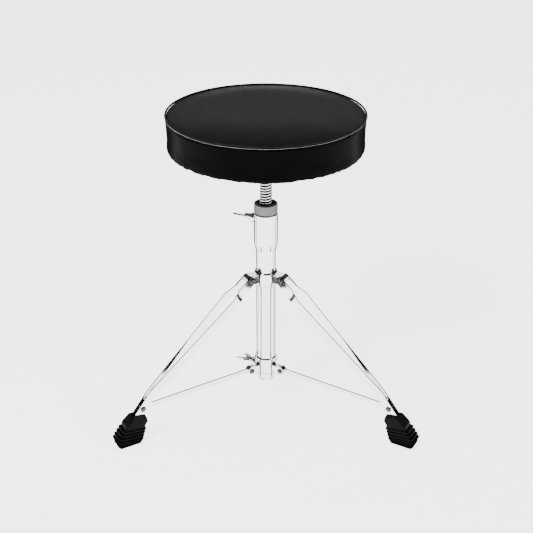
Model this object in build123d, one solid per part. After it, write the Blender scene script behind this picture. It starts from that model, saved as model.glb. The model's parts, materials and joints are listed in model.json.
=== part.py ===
from build123d import *
import os
from math import asin, cos, degrees, radians, sin, sqrt

# Drum throne: a round padded seat on a threaded spindle, over a folding three-legged base.
# Frame: origin on the column's axis at floor level, +Z up, front of the throne towards -Y.
# All sizes are in millimetres. Legs are described in their own upright plane by the
# distance r from the column's axis and the height z.

# --- seat ---
SEAT_RADIUS = 167.0
SEAT_BOTTOM_Z = 505.0
SEAT_RIM_Z = 565.0
SEAT_CROWN = 11.0
SEAT_CROWN_POWER = 4.4
SEAT_CROWN_STEPS = 14
BAND_WALL = 2.0
BAND_BOTTOM_RADIUS = 164.5
WELT_RADIUS = 2.3
SEAM_GAP = 0.7
PANEL_TUCK = 0.4
BAND_INSET = 1.0
BOARD_EDGE = 1.0
BOARD_RADIUS = 150.0
BOARD_THICKNESS = 12.0
DUST_COVER_RADIUS = 139.0
DUST_COVER_THICKNESS = 0.8
BAND_TURN_IN_RADIUS = 140.0
BAND_BOTTOM_ROUND = 3.0
STAPLE_COUNT = 24
STAPLE_RING_RADIUS = 144.5
STAPLE_LENGTH = 9.0
STAPLE_WIRE = 0.9

# --- seat bracket ---
PLATE_SIZE = 112.0
PLATE_CORNER = 14.0
PLATE_THICKNESS = 3.0
SOCKET_RADIUS = 14.0
SOCKET_BOTTOM_Z = 462.0
SOCKET_WELD = 3.0
BRACKET_SCREW_SPACING = 84.0
BRACKET_SCREW_RADIUS = 2.5
BRACKET_SCREW_LENGTH = 9.0
CLAMP_SCREW_Z = 478.0
CLAMP_SCREW_RADIUS = 3.0
CLAMP_SCREW_TIP = 5.0
CLAMP_SCREW_HEAD_ACROSS = 10.0
CLAMP_SCREW_HEAD_HEIGHT = 5.0

# --- spindle ---
THREAD_RADIUS = 10.5
THREAD_ROOT_RADIUS = 8.9
THREAD_PITCH = 5.0
THREAD_FORM = [
    (THREAD_ROOT_RADIUS, 0.0),
    (THREAD_ROOT_RADIUS, 0.30),
    (THREAD_RADIUS, 0.45),
    (THREAD_RADIUS, 0.85),
]
THREAD_BOTTOM_Z = 258.0
THREAD_TURNS = 39
SPINDLE_NECK_RADIUS = 9.0
SPINDLE_TOP_Z = 500.0
STOP_STUB_RADIUS = 7.0
STOP_COLLAR_RADIUS = 13.0
STOP_COLLAR_HEIGHT = 8.0
RUNNING_FIT = 0.05

# --- column ---
TUBE_RADIUS = 17.5
TUBE_WALL = 2.0
TUBE_BOTTOM_Z = 60.0
TUBE_TOP_Z = 330.0
HOUSING_RADIUS = 21.0
HOUSING_TOP_Z = 386.0
HOUSING_TAPER_TOP_Z = 329.0
HOUSING_BOTTOM_Z = 317.0
HOUSING_LIP_RADIUS = 18.2
NUT_RADIUS = 15.0
CAP_RADIUS = 15.0
CAP_BOTTOM_Z = 43.5
CAP_PLUG_TOP_Z = 78.0
CAP_ROUND = 4.8
CAP_DRAIN_RADIUS = 1.6
CAP_DRAIN_DEPTH = 3.0
CAP_DRAIN_AZIMUTH = -105.0
CAP_DRAIN_Z = 52.5
LOCK_RING_RADIUS = 20.6
LOCK_RING_BOTTOM_Z = 386.3
LOCK_RING_TOP_Z = 404.5
LOCK_RING_LOWER_EDGE = 2.0
LOCK_RING_UPPER_EDGE = 0.8
LOCK_RING_DISH_RADIUS = 17.5
LOCK_RING_DISH_FLOOR_RADIUS = 14.5
LOCK_RING_DISH_DEPTH = 5.0
LOCK_RING_BORE = 10.85

# --- wing bolts ---
WING_AZIMUTH = 150.0
UPPER_BOLT_Z = 372.0
LOWER_BOLT_Z = 76.0
BOSS_RADIUS = 8.5
UPPER_BOSS_REACH = 27.0
LOWER_BOSS_REACH = 25.0
BOLT_RADIUS = 3.5
BOLT_LENGTH = 6.0
BOLT_COLLAR_RADIUS = 6.5
BOLT_HUB_LENGTH = 11.0
BOLT_COLLAR_THICKNESS = 3.0
BOLT_HUB_RADII = (5.6, 4.4)
WING_ROOT = 5.0
WING_OUTLINE = [
    (0.0, 0.0),
    (2.0, 7.0),
    (11.0, 14.5),
    (20.0, 19.5),
    (25.5, 18.5),
    (26.5, 13.5),
    (18.0, 8.0),
    (8.0, 0.0),
]
WING_ROUND = 2.4
WING_THICKNESS = 3.0
UPPER_WING_ROLL = 22.0
LOWER_WING_ROLL = 17.0

# --- legs ---
LEG_AZIMUTHS = {"left": 210.0, "right": 330.0, "rear": 90.0}
LEG_PIVOT = (34.0, 264.5)
LEG_BEND = (232.0, 91.0)
LEG_RIVET = (252.5, 65.5)
LEG_LOWER_LENGTH = 72.0
STRIP_THICKNESS = 2.5
STRIP_DEPTH = 15.0
HEAD_OFFSET = 9.6
FLARE_START = 27.0
FLARE_END = 46.0
FLARE_OFFSET = 16.2
FOOT_OFFSET = 4.4
PIVOT_RADIUS = 3.0
RIVET_HEAD_RADIUS = 5.2
RIVET_HEAD_HEIGHT = 2.4
RIVET_HEAD_SHAPE = [(1.0, 0.0), (1.0, 0.35), (0.72, 0.85), (0.36, 1.0), (0.0, 1.0)]
FACE_GAP = 0.3

# --- leg hub ---
LEG_HUB_TOP_Z = 275.0
LEG_HUB_BOTTOM_Z = 247.0
LEG_HUB_RADIUS = 20.4
LUG_THICKNESS = 16.0
LUG_NOSE_RADIUS = 8.5

# --- strut hub and struts ---
STRUT_PIVOT = (33.2, 73.0)
STRUT_HUB_BOTTOM_Z = 56.5
STRUT_FOOT_TOP_Z = 65.5
STRUT_HUB_EDGE = 1.2
STRUT_COLLAR_EDGE = 2.0
STRUT_COLLAR_INSET = 1.4
LOOSE_END = 15.0
STRUT_HUB_STEP_Z = 84.0
STRUT_HUB_TOP_Z = 97.0
STRUT_HUB_RADIUS = 19.4
STRUT_COLLAR_RADIUS = 20.3
STRUT_HUB_BORE = 17.6
STRUT_THICKNESS = 3.2
STRUT_DEPTH = 9.6
STRUT_PIN_RADIUS = 2.5
EAR_THICKNESS = 4.2
EAR_NOSE_RADIUS = 7.6
EAR_SLOT_FLOOR = 26.5

# --- boots ---
# Each level: height, near end, far end, half width.
BOOT_LEVELS = [
    (0.0, 262.5, 302.0, 11.4),
    (5.0, 260.5, 305.5, 13.2),
    (14.0, 259.5, 305.5, 13.2),
    (35.0, 252.0, 290.5, 12.6),
    (42.4, 247.5, 288.0, 13.3),
    (59.0, 249.6, 270.6, 11.2),
]
BOOT_CORNER = 3.0
BOOT_TOP_INNER = (250.7, 50.6)
BOOT_TOP_OUTER = (274.0, 54.6)
BOOT_RIB_HEIGHTS = [12.5, 18.6, 24.7, 30.8]
BOOT_RIB_TILT = 7.0
BOOT_RIB_THICKNESS = 3.4
BOOT_RIB_STAND = 2.2
BOOT_RIB_EDGE = 0.8


def leg_frame(azimuth, r, z):
    """Frame at (r, z) in a leg's plane: X outward, Y sideways, Z up."""
    turn = radians(azimuth)
    origin = Vector(r * cos(turn), r * sin(turn), z)
    return Location(origin, (0, 0, azimuth))


def rod_up(radius, bottom, top):
    """Upright cylinder between two heights."""
    return Pos(0, 0, (bottom + top) / 2) * Cylinder(radius, top - bottom)


def ring(outer, inner, bottom, top):
    """Plain tube between two heights."""
    return rod_up(outer, bottom, top) - rod_up(inner, bottom, top)


def rod_across(radius, length, centre=0.0):
    """Cylinder lying along Y, centred at Y = centre."""
    return Pos(0, centre, 0) * Rot(90, 0, 0) * Cylinder(radius, length)


def revolved(points):
    """Solid of revolution about Z from (radius, z) points."""
    outline = Plane.XZ * make_face(Polyline(*points, close=True))
    return revolve(outline, Axis.Z)


def rivet(shank_radius, reach):
    """Rivet lying along Y with a domed head at each end, its heads from +-reach outward."""
    shank = rod_across(shank_radius, 2 * reach)
    heads = [
        Pos(0, side * reach, 0) * Rot(-side * 90, 0, 0) * rivet_head()
        for side in (-1, 1)
    ]
    return shank + heads[0] + heads[1]


def rivet_head():
    """Domed head standing on the XY plane."""
    outline = [(0, 0)]
    for radius_share, height_share in RIVET_HEAD_SHAPE:
        outline.append((radius_share * RIVET_HEAD_RADIUS, height_share * RIVET_HEAD_HEIGHT))
    return revolved(outline)


# ---------------------------------------------------------------- seat


def seat_board():
    bottom = SEAT_BOTTOM_Z + BAND_WALL
    board = rod_up(BOARD_RADIUS, bottom, bottom + BOARD_THICKNESS)
    board = chamfer(board.edges().filter_by(GeomType.CIRCLE), BOARD_EDGE)
    return board - bracket_screws()


def band_radius(z):
    """Outside of the band at height z."""
    share = (z - SEAT_BOTTOM_Z) / (SEAT_RIM_Z - SEAT_BOTTOM_Z)
    return BAND_BOTTOM_RADIUS + share * (SEAT_RADIUS - BAND_INSET - BAND_BOTTOM_RADIUS)


def seam_z():
    """Height where the band ends and the top panel starts, just under the welt."""
    return SEAT_RIM_Z - WELT_RADIUS - SEAM_GAP


def seat_foam():
    """Foam pad over and round the board, filling the cover."""
    floor_z = SEAT_BOTTOM_Z + BAND_WALL
    board_top = floor_z + BOARD_THICKNESS
    low = floor_z + BAND_BOTTOM_ROUND
    inside = band_radius(low) - BAND_WALL
    return revolved(
        [
            (0, board_top),
            (BOARD_RADIUS, board_top),
            (BOARD_RADIUS, floor_z),
            (inside - BAND_BOTTOM_ROUND, floor_z),
            (inside, low),
            (band_radius(seam_z()) - BAND_WALL, seam_z()),
            (0, seam_z()),
        ]
    )


def seat_band():
    """Vinyl side band, turned in under the board."""
    inner_low = SEAT_BOTTOM_Z + BAND_WALL
    inner_turn = inner_low + BAND_BOTTOM_ROUND
    outer_turn = SEAT_BOTTOM_Z + BAND_BOTTOM_ROUND
    side = band_radius(inner_turn)
    return revolved(
        [
            (BAND_TURN_IN_RADIUS, SEAT_BOTTOM_Z),
            (side - BAND_BOTTOM_ROUND, SEAT_BOTTOM_Z),
            (side, outer_turn),
            (band_radius(seam_z()), seam_z()),
            (band_radius(seam_z()) - BAND_WALL, seam_z()),
            (side - BAND_WALL, inner_turn),
            (side - BAND_WALL - BAND_BOTTOM_ROUND, inner_low),
            (BAND_TURN_IN_RADIUS, inner_low),
        ]
    )


def seat_top_panel():
    """Crowned vinyl top panel, flat in the middle and rolled down to its rim."""
    edge = SEAT_RADIUS - 2 * WELT_RADIUS + PANEL_TUCK
    outline = [(0, seam_z()), (edge, seam_z())]
    for step in range(SEAT_CROWN_STEPS + 1):
        share = sqrt(1 - step / SEAT_CROWN_STEPS)
        rise = SEAT_CROWN * (1 - share**SEAT_CROWN_POWER)
        outline.append((edge * share, SEAT_RIM_Z + rise))
    return revolved(outline)


def seat_welt():
    return Pos(0, 0, SEAT_RIM_Z) * Torus(SEAT_RADIUS - WELT_RADIUS, WELT_RADIUS) - seat_top_panel()


def seat_dust_cover():
    top = SEAT_BOTTOM_Z + BAND_WALL
    return rod_up(DUST_COVER_RADIUS, top - DUST_COVER_THICKNESS, top) - bracket_screws()


def seat_staples():
    """Ring of staple crowns lying on the turned-in cover."""
    staple = Box(STAPLE_WIRE, STAPLE_LENGTH, STAPLE_WIRE)
    height = SEAT_BOTTOM_Z - STAPLE_WIRE / 2
    step = 360 / STAPLE_COUNT
    places = [Rot(0, 0, step * i) * Pos(STAPLE_RING_RADIUS, 0, height) for i in range(STAPLE_COUNT)]
    return Compound([place * staple for place in places])


# ---------------------------------------------------------------- seat bracket and spindle


def bracket_places():
    half = BRACKET_SCREW_SPACING / 2
    return [Pos(x, y, 0) for x in (-half, half) for y in (-half, half)]


def plate_bottom():
    return SEAT_BOTTOM_Z + BAND_WALL - DUST_COVER_THICKNESS - PLATE_THICKNESS


def bracket_screws():
    """Pan-head screws through the plate into the board."""
    under = plate_bottom()
    length = PLATE_THICKNESS + DUST_COVER_THICKNESS + BRACKET_SCREW_LENGTH
    shank = rod_up(BRACKET_SCREW_RADIUS, under, under + length)
    head = Pos(0, 0, under) * Rot(180, 0, 0) * rivet_head()
    screw = shank + head
    return Compound([place * screw for place in bracket_places()])


def seat_bracket():
    """Square steel plate with a welded socket for the spindle."""
    under = plate_bottom()
    plate = extrude(RectangleRounded(PLATE_SIZE, PLATE_SIZE, PLATE_CORNER), PLATE_THICKNESS)
    plate = Pos(0, 0, under) * plate
    socket = rod_up(SOCKET_RADIUS, SOCKET_BOTTOM_Z, under)
    weld = Pos(0, 0, under - SOCKET_WELD / 2) * Cone(SOCKET_RADIUS, SOCKET_RADIUS + SOCKET_WELD, SOCKET_WELD)
    bore = rod_up(SPINDLE_NECK_RADIUS, SOCKET_BOTTOM_Z, SPINDLE_TOP_Z)
    return plate + socket + weld - bore - bracket_screws() - socket_clamp_screw()


def socket_clamp_screw():
    """Hexagon-head screw through the back of the socket into the spindle's neck."""
    length = SOCKET_RADIUS - CLAMP_SCREW_TIP
    shank = rod_across(CLAMP_SCREW_RADIUS, length, CLAMP_SCREW_TIP + length / 2)
    hexagon = RegularPolygon(CLAMP_SCREW_HEAD_ACROSS / 2, 6, major_radius=False)
    head = Pos(0, SOCKET_RADIUS, 0) * Rot(-90, 0, 0) * extrude(hexagon, CLAMP_SCREW_HEAD_HEIGHT)
    return Pos(0, 0, CLAMP_SCREW_Z) * (shank + head)


def spindle():
    """Threaded rod: its thread is drawn as closed ridges, one to each pitch."""
    points = [(0, THREAD_BOTTOM_Z - STOP_COLLAR_HEIGHT)]
    points.append((STOP_STUB_RADIUS, THREAD_BOTTOM_Z - STOP_COLLAR_HEIGHT))
    points.append((STOP_STUB_RADIUS, THREAD_BOTTOM_Z))
    for turn in range(THREAD_TURNS):
        z = THREAD_BOTTOM_Z + turn * THREAD_PITCH
        for radius, share in THREAD_FORM:
            points.append((radius, z + share * THREAD_PITCH))
    top = THREAD_BOTTOM_Z + THREAD_TURNS * THREAD_PITCH
    points.append((THREAD_ROOT_RADIUS, top))
    points.append((SPINDLE_NECK_RADIUS, top + 1.0))
    points.append((SPINDLE_NECK_RADIUS, SPINDLE_TOP_Z))
    points.append((0, SPINDLE_TOP_Z))
    return revolved(points) - socket_clamp_screw()


def spindle_stop_collar():
    """Collar on the spindle's lower end that stops it winding out of its nut."""
    bottom = THREAD_BOTTOM_Z - STOP_COLLAR_HEIGHT
    return ring(STOP_COLLAR_RADIUS, STOP_STUB_RADIUS + RUNNING_FIT, bottom, THREAD_BOTTOM_Z - FACE_GAP)


# ---------------------------------------------------------------- column


def main_tube():
    return ring(TUBE_RADIUS, TUBE_RADIUS - TUBE_WALL, TUBE_BOTTOM_Z, TUBE_TOP_Z)


def height_housing():
    """Chromed sleeve pressed on the tube's top, holding the spindle nut."""
    outside = revolved(
        [
            (0, HOUSING_BOTTOM_Z),
            (HOUSING_LIP_RADIUS, HOUSING_BOTTOM_Z),
            (HOUSING_RADIUS, HOUSING_TAPER_TOP_Z),
            (HOUSING_RADIUS, HOUSING_TOP_Z - 1.0),
            (HOUSING_RADIUS - 1.0, HOUSING_TOP_Z),
            (0, HOUSING_TOP_Z),
        ]
    )
    tube_bore = rod_up(TUBE_RADIUS, HOUSING_BOTTOM_Z, TUBE_TOP_Z)
    nut_bore = rod_up(NUT_RADIUS, HOUSING_BOTTOM_Z, HOUSING_TOP_Z)
    return outside - tube_bore - nut_bore - bolt_hole(UPPER_BOLT_Z)


def bolt_hole(z):
    """Cross hole for a wing bolt, from the nut outward."""
    start = NUT_RADIUS - 1.0
    length = UPPER_BOSS_REACH - start + 1.0
    hole = Pos(start + length / 2, 0, 0) * Rot(0, 90, 0) * Cylinder(BOLT_RADIUS + RUNNING_FIT, length)
    return Pos(0, 0, z) * Rot(0, 0, WING_AZIMUTH) * hole


def radial_boss(inner, reach, z):
    """Round boss standing out of a sleeve of radius inner."""
    start = inner - BOSS_RADIUS / 2
    boss = Pos((start + reach) / 2, 0, 0) * Rot(0, 90, 0) * Cylinder(BOSS_RADIUS, reach - start)
    boss = boss - Cylinder(inner, 4 * BOSS_RADIUS)
    rim = boss.edges().filter_by(GeomType.CIRCLE).sort_by(Axis.X)[-1]
    boss = chamfer(rim, 1.0)
    return Pos(0, 0, z) * Rot(0, 0, WING_AZIMUTH) * boss


def clamp_boss():
    return radial_boss(HOUSING_RADIUS, UPPER_BOSS_REACH, UPPER_BOLT_Z) - bolt_hole(UPPER_BOLT_Z)


def nut_insert():
    """Nut that the spindle runs in, pressed into the housing."""
    return ring(NUT_RADIUS, THREAD_RADIUS + RUNNING_FIT, TUBE_TOP_Z, HOUSING_TOP_Z) - bolt_hole(
        UPPER_BOLT_Z
    )


def lock_ring():
    """Dished jam ring that locks the spindle against the housing."""
    return revolved(
        [
            (LOCK_RING_BORE, LOCK_RING_BOTTOM_Z),
            (LOCK_RING_RADIUS - LOCK_RING_LOWER_EDGE, LOCK_RING_BOTTOM_Z),
            (LOCK_RING_RADIUS, LOCK_RING_BOTTOM_Z + LOCK_RING_LOWER_EDGE),
            (LOCK_RING_RADIUS, LOCK_RING_TOP_Z - LOCK_RING_UPPER_EDGE),
            (LOCK_RING_RADIUS - LOCK_RING_UPPER_EDGE, LOCK_RING_TOP_Z),
            (LOCK_RING_DISH_RADIUS, LOCK_RING_TOP_Z),
            (LOCK_RING_DISH_FLOOR_RADIUS, LOCK_RING_TOP_Z - LOCK_RING_DISH_DEPTH),
            (LOCK_RING_BORE, LOCK_RING_TOP_Z - LOCK_RING_DISH_DEPTH),
        ]
    )


def tube_cap():
    """Rounded plug in the tube's lower end."""
    plug = revolved(
        [
            (0, CAP_BOTTOM_Z),
            (CAP_RADIUS - CAP_ROUND, CAP_BOTTOM_Z),
            (CAP_RADIUS - 0.3 * CAP_ROUND, CAP_BOTTOM_Z + 0.3 * CAP_ROUND),
            (CAP_RADIUS, CAP_BOTTOM_Z + CAP_ROUND),
            (CAP_RADIUS, TUBE_BOTTOM_Z),
            (TUBE_RADIUS - TUBE_WALL, TUBE_BOTTOM_Z),
            (TUBE_RADIUS - TUBE_WALL, CAP_PLUG_TOP_Z),
            (0, CAP_PLUG_TOP_Z),
        ]
    )
    drain = Rot(0, 0, CAP_DRAIN_AZIMUTH) * Pos(CAP_RADIUS, 0, CAP_DRAIN_Z) * Rot(0, 90, 0)
    return plug - drain * Cylinder(CAP_DRAIN_RADIUS, 2 * CAP_DRAIN_DEPTH)


# ---------------------------------------------------------------- wing bolts


def rod_out(radius, start, length):
    """Cylinder along X from X = start."""
    return Pos(start + length / 2, 0, 0) * Rot(0, 90, 0) * Cylinder(radius, length)


def wing(root):
    """Flat wing on the +Y side of a bolt's head."""
    outline = Polyline(*[(root + x, y) for x, y in WING_OUTLINE], close=True)
    face = make_face(outline)
    free_corners = [v for v in face.vertices() if v.Y > WING_ROUND / 2]
    return extrude(fillet(free_corners, WING_ROUND), WING_THICKNESS / 2, both=True)


def wing_bolt(reach, z, roll):
    """Wing bolt on the radial line at WING_AZIMUTH, seated on a boss that reaches reach."""
    seat = reach + FACE_GAP
    shank = rod_out(BOLT_RADIUS, seat - BOLT_LENGTH, BOLT_LENGTH)
    collar = rod_out(BOLT_COLLAR_RADIUS, seat, BOLT_COLLAR_THICKNESS)
    hub_middle = seat + BOLT_COLLAR_THICKNESS + BOLT_HUB_LENGTH / 2
    hub = Pos(hub_middle, 0, 0) * Rot(0, 90, 0) * Cone(*BOLT_HUB_RADII, BOLT_HUB_LENGTH)
    one_wing = wing(seat + WING_ROOT)
    head = collar + hub + one_wing + mirror(one_wing, Plane.XZ)
    bolt = shank + Rot(roll, 0, 0) * head
    return Pos(0, 0, z) * Rot(0, 0, WING_AZIMUTH) * bolt


# ---------------------------------------------------------------- legs


def leg_axes():
    """Length of a leg's upper run and its angle below the horizontal."""
    run = LEG_BEND[0] - LEG_PIVOT[0]
    drop = LEG_PIVOT[1] - LEG_BEND[1]
    length = sqrt(run * run + drop * drop)
    return length, degrees(asin(drop / length))


def lower_turn():
    """Angle that the lower run of a leg turns down from the upper run."""
    run = LEG_RIVET[0] - LEG_BEND[0]
    drop = LEG_BEND[1] - LEG_RIVET[1]
    slope = degrees(asin(drop / sqrt(run * run + drop * drop)))
    return slope - leg_axes()[1]


def leg_place(azimuth):
    """Frame at a leg's pivot: X down the upper run, Y sideways, Z square to it."""
    slope = leg_axes()[1]
    return leg_frame(azimuth, *LEG_PIVOT) * Rot(0, slope, 0)


def strip_side_view():
    """Side outline of a strip, thick enough to cut any ribbon from."""
    upper = leg_axes()[0]
    turn = radians(lower_turn())
    half = STRIP_DEPTH / 2
    end_x = upper + LEG_LOWER_LENGTH * cos(turn)
    end_z = -LEG_LOWER_LENGTH * sin(turn)
    band = Pos(upper / 2, 0, 0) * Rectangle(upper, STRIP_DEPTH) + Circle(half)
    lower_middle = (upper + (end_x - upper) / 2, end_z / 2)
    lower = Pos(*lower_middle) * Rot(0, 0, -degrees(turn)) * Rectangle(LEG_LOWER_LENGTH, STRIP_DEPTH)
    knee = Pos(upper, 0) * Circle(half)
    outline = band + lower + knee
    return extrude(Plane.XZ * outline, 2 * FLARE_OFFSET, both=True)


def ribbon(side):
    """Bent run of one strip seen from above, at side +1 or -1 of the leg's plane."""
    upper = leg_axes()[0]
    past = upper + LEG_LOWER_LENGTH + 10.0
    half = STRIP_THICKNESS / 2
    stations = [
        (-STRIP_DEPTH, HEAD_OFFSET),
        (FLARE_START, HEAD_OFFSET),
        (FLARE_END, FLARE_OFFSET),
        (upper, FOOT_OFFSET),
        (past, FOOT_OFFSET),
    ]
    outer = [(x, side * (offset + half)) for x, offset in stations]
    inner = [(x, side * (offset - half)) for x, offset in reversed(stations)]
    face = make_face(Polyline(*outer, *inner, close=True))
    return extrude(face, 3 * STRIP_DEPTH, both=True)


def rivet_in_leg():
    """The outer rivet's place in the leg's own frame."""
    upper = leg_axes()[0]
    turn = radians(lower_turn())
    run = LEG_RIVET[0] - LEG_BEND[0]
    drop = LEG_BEND[1] - LEG_RIVET[1]
    along = sqrt(run * run + drop * drop)
    return Pos(upper + along * cos(turn), 0, -along * sin(turn))


def leg_strip(azimuth, side):
    strip = strip_side_view() & ribbon(side)
    strip = strip - rod_across(PIVOT_RADIUS + RUNNING_FIT, 4 * FLARE_OFFSET)
    strip = strip - rivet_in_leg() * rod_across(STRUT_PIN_RADIUS, 4 * FLARE_OFFSET)
    return leg_place(azimuth) * strip


def leg_rivet_studs(azimuth):
    """A headed stud in each strip, where the strut's outer pivot is."""
    inner = FOOT_OFFSET - STRIP_THICKNESS / 2
    outer = FOOT_OFFSET + STRIP_THICKNESS / 2
    studs = []
    for side in (-1, 1):
        shank = rod_across(STRUT_PIN_RADIUS, outer - inner, side * (inner + outer) / 2)
        head = Pos(0, side * outer, 0) * Rot(-side * 90, 0, 0) * rivet_head()
        studs.append(leg_place(azimuth) * rivet_in_leg() * (shank + head))
    return Compound(studs)


def boot(azimuth):
    """Ribbed rubber boot on the end of a leg, with a block top cut square to the leg."""
    sections = []
    for z, near, far, half in BOOT_LEVELS:
        outline = RectangleRounded(far - near, 2 * half, BOOT_CORNER)
        sections.append(Pos((near + far) / 2, 0, z) * outline)
    body = loft(sections, ruled=True)
    for z in BOOT_RIB_HEIGHTS:
        body = body + boot_rib(z)
    body = split(body, boot_top_plane(), keep=Keep.BOTTOM)
    placed = Rot(0, 0, azimuth) * body
    for side in (-1, 1):
        placed = placed - leg_strip(azimuth, side)
    return placed


def boot_top_plane():
    """Sloping plane of the boot's top face."""
    run = BOOT_TOP_OUTER[0] - BOOT_TOP_INNER[0]
    rise = BOOT_TOP_OUTER[1] - BOOT_TOP_INNER[1]
    origin = (BOOT_TOP_INNER[0], 0, BOOT_TOP_INNER[1])
    return Plane(origin=origin, x_dir=(run, 0, rise), z_dir=(-rise, 0, run))


def boot_size(z):
    """Near end, far end and half width of a boot at height z."""
    for low, high in zip(BOOT_LEVELS, BOOT_LEVELS[1:]):
        if low[0] <= z <= high[0]:
            share = (z - low[0]) / (high[0] - low[0])
            return [a + share * (b - a) for a, b in zip(low[1:], high[1:])]
    raise ValueError(f"height {z} is off the boot")


def boot_rib(z):
    """Flat rib round a boot, its far end raised a little."""
    near, far, half = boot_size(z)
    length = far - near + 2 * BOOT_RIB_STAND
    width = 2 * (half + BOOT_RIB_STAND)
    outline = RectangleRounded(length, width, BOOT_CORNER + BOOT_RIB_STAND)
    slab = extrude(outline, BOOT_RIB_THICKNESS / 2, both=True)
    slab = chamfer(slab.edges().filter_by(Plane.XY), BOOT_RIB_EDGE)
    return Pos((near + far) / 2, 0, z) * Rot(0, -BOOT_RIB_TILT, 0) * slab


# ---------------------------------------------------------------- hubs and struts


def lug(pivot, nose, thickness, root):
    """Flat lug in a leg's plane, from the column out round a pivot."""
    bar = Pos((root + pivot[0]) / 2, 0) * Rectangle(pivot[0] - root, 2 * nose)
    face = bar + Pos(pivot[0], 0) * Circle(nose)
    return Pos(0, 0, pivot[1]) * extrude(Plane.XZ * face, thickness / 2, both=True)


def leg_hub():
    """Cast shoulder fixed on the tube, with a lug for each leg."""
    hub = ring(LEG_HUB_RADIUS, TUBE_RADIUS - 1, LEG_HUB_BOTTOM_Z, LEG_HUB_TOP_Z)
    hub = chamfer(hub.edges().filter_by(GeomType.CIRCLE).group_by(SortBy.RADIUS)[-1], 1.4)
    hole = rod_across(PIVOT_RADIUS, 2 * LUG_THICKNESS)
    for azimuth in LEG_AZIMUTHS.values():
        turned = Rot(0, 0, azimuth)
        hub = hub + turned * lug(LEG_PIVOT, LUG_NOSE_RADIUS, LUG_THICKNESS, TUBE_RADIUS - 1)
        hub = hub - leg_frame(azimuth, *LEG_PIVOT) * hole
    middle = (LEG_HUB_BOTTOM_Z + LEG_HUB_TOP_Z) / 2
    return hub - Pos(0, 0, middle) * Cylinder(TUBE_RADIUS, 4 * STRIP_DEPTH)


def leg_pivot_rivets():
    reach = HEAD_OFFSET + STRIP_THICKNESS / 2 + FACE_GAP
    places = [leg_frame(a, *LEG_PIVOT) for a in LEG_AZIMUTHS.values()]
    return Compound([place * rivet(PIVOT_RADIUS, reach) for place in places])


def strut_hub():
    """Sliding collar with a forked lug for each strut and a boss for its wing bolt."""
    slot_half = STRUT_THICKNESS / 2 + FACE_GAP
    lug_width = 2 * (slot_half + EAR_THICKNESS)
    body = revolved(
        [
            (TUBE_RADIUS - 1, STRUT_HUB_BOTTOM_Z),
            (STRUT_COLLAR_RADIUS - STRUT_HUB_EDGE, STRUT_HUB_BOTTOM_Z),
            (STRUT_COLLAR_RADIUS, STRUT_HUB_BOTTOM_Z + STRUT_HUB_EDGE),
            (STRUT_COLLAR_RADIUS, STRUT_FOOT_TOP_Z - STRUT_HUB_EDGE / 2),
            (STRUT_HUB_RADIUS, STRUT_FOOT_TOP_Z),
            (STRUT_HUB_RADIUS, STRUT_HUB_STEP_Z),
            (STRUT_COLLAR_RADIUS, STRUT_HUB_STEP_Z),
            (STRUT_COLLAR_RADIUS, STRUT_HUB_TOP_Z - STRUT_COLLAR_EDGE),
            (STRUT_COLLAR_RADIUS - STRUT_COLLAR_INSET, STRUT_HUB_TOP_Z),
            (TUBE_RADIUS - 1, STRUT_HUB_TOP_Z),
        ]
    )
    body = body + radial_boss(STRUT_HUB_RADIUS - 1.0, LOWER_BOSS_REACH, LOWER_BOLT_Z)
    hole = rod_across(STRUT_PIN_RADIUS, 2 * lug_width)
    slot_length = STRUT_PIVOT[0] + EAR_NOSE_RADIUS + 1 - EAR_SLOT_FLOOR
    slot = Pos(EAR_SLOT_FLOOR + slot_length / 2, 0, STRUT_PIVOT[1]) * Box(
        slot_length, 2 * slot_half, 4 * EAR_NOSE_RADIUS
    )
    for azimuth in LEG_AZIMUTHS.values():
        turned = Rot(0, 0, azimuth)
        body = body + turned * lug(STRUT_PIVOT, EAR_NOSE_RADIUS, lug_width, TUBE_RADIUS - 1)
        body = body - turned * slot
        body = body - leg_frame(azimuth, *STRUT_PIVOT) * hole
    bore = rod_up(STRUT_HUB_BORE, STRUT_HUB_BOTTOM_Z - LOOSE_END, STRUT_HUB_TOP_Z + LOOSE_END)
    return body - bore - bolt_hole(LOWER_BOLT_Z)


def strut_pivot_rivets():
    reach = STRUT_THICKNESS / 2 + FACE_GAP + EAR_THICKNESS
    places = [leg_frame(a, *STRUT_PIVOT) for a in LEG_AZIMUTHS.values()]
    return Compound([place * rivet(STRUT_PIN_RADIUS, reach) for place in places])


def strut(azimuth):
    """Flat brace from the sliding hub to the leg's outer rivet."""
    run = LEG_RIVET[0] - STRUT_PIVOT[0]
    drop = STRUT_PIVOT[1] - LEG_RIVET[1]
    length = sqrt(run * run + drop * drop)
    slope = degrees(asin(drop / length))
    half = STRUT_DEPTH / 2
    outline = Pos(length / 2, 0) * Rectangle(length, STRUT_DEPTH)
    outline = outline + Circle(half) + Pos(length, 0) * Circle(half)
    bar = extrude(Plane.XZ * outline, STRUT_THICKNESS / 2, both=True)
    bar = bar - rod_across(STRUT_PIN_RADIUS + RUNNING_FIT, 20)
    bar = bar - Pos(length, 0, 0) * rod_across(STRUT_PIN_RADIUS + FACE_GAP, 20)
    return leg_frame(azimuth, *STRUT_PIVOT) * Rot(0, slope, 0) * bar


# ---------------------------------------------------------------- writing


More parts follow.
